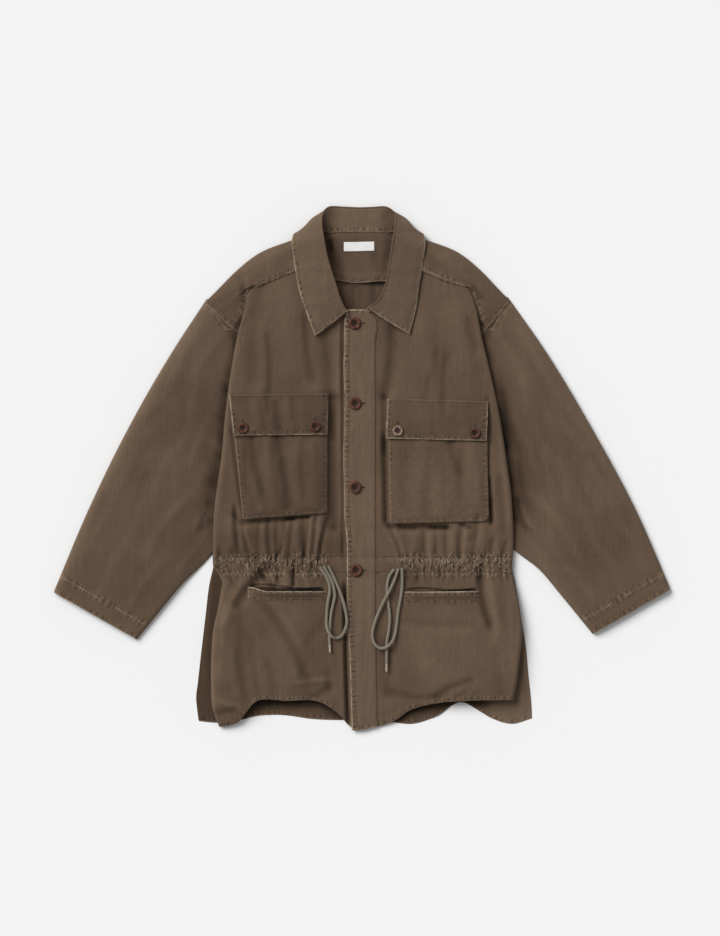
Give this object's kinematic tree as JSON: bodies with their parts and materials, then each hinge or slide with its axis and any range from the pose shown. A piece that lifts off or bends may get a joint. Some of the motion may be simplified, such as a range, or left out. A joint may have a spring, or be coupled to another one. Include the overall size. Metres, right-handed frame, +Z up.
{
  "type": "safari jacket laid flat",
  "caption": "Loose long safari jacket in brown twill laid flat, with a wide collar, buttoned placket, flapped chest pockets, lower pockets and a waist drawcord.",
  "frame": {"origin": "centre of the lying jacket's outline, on the surface it lies on", "axes": "+X towards the wearer's left sleeve, +Y towards the collar, +Z up from the surface"},
  "size_m": [0.9882, 0.8396, 0.0271],
  "materials": {
    "twill": "washed cotton twill, brown",
    "button": "dark red-brown, satin",
    "cord": "braided cotton cord, grey olive",
    "tip": "pale moulded cord tip",
    "label": "plain white woven tape"
  },
  "bodies": {
    "root": {"back_left": "twill", "back_right": "twill", "yoke": "twill", "front_left": "twill", "front_right": "twill", "placket": "twill", "sleeve_left": "twill", "sleeve_right": "twill", "collar_leaf": "twill", "collar_stand": "twill", "chest_pocket_left": "twill", "chest_pocket_right": "twill", "chest_flap_left": "twill", "chest_flap_right": "twill", "lower_pocket_band_left": "twill", "lower_pocket_band_right": "twill", "neck_label": "label", "front_button_1": "button", "flap_button_1": "button", "front_button_2": "button", "flap_button_2": "button", "front_button_3": "button", "flap_button_3": "button", "front_button_4": "button", "flap_button_4": "button", "drawcord_loop_left": "cord", "drawcord_end_left": "cord", "cord_tip_left": "tip", "drawcord_loop_right": "cord", "drawcord_end_right": "cord", "cord_tip_right": "tip"}
  },
  "joints": []
}
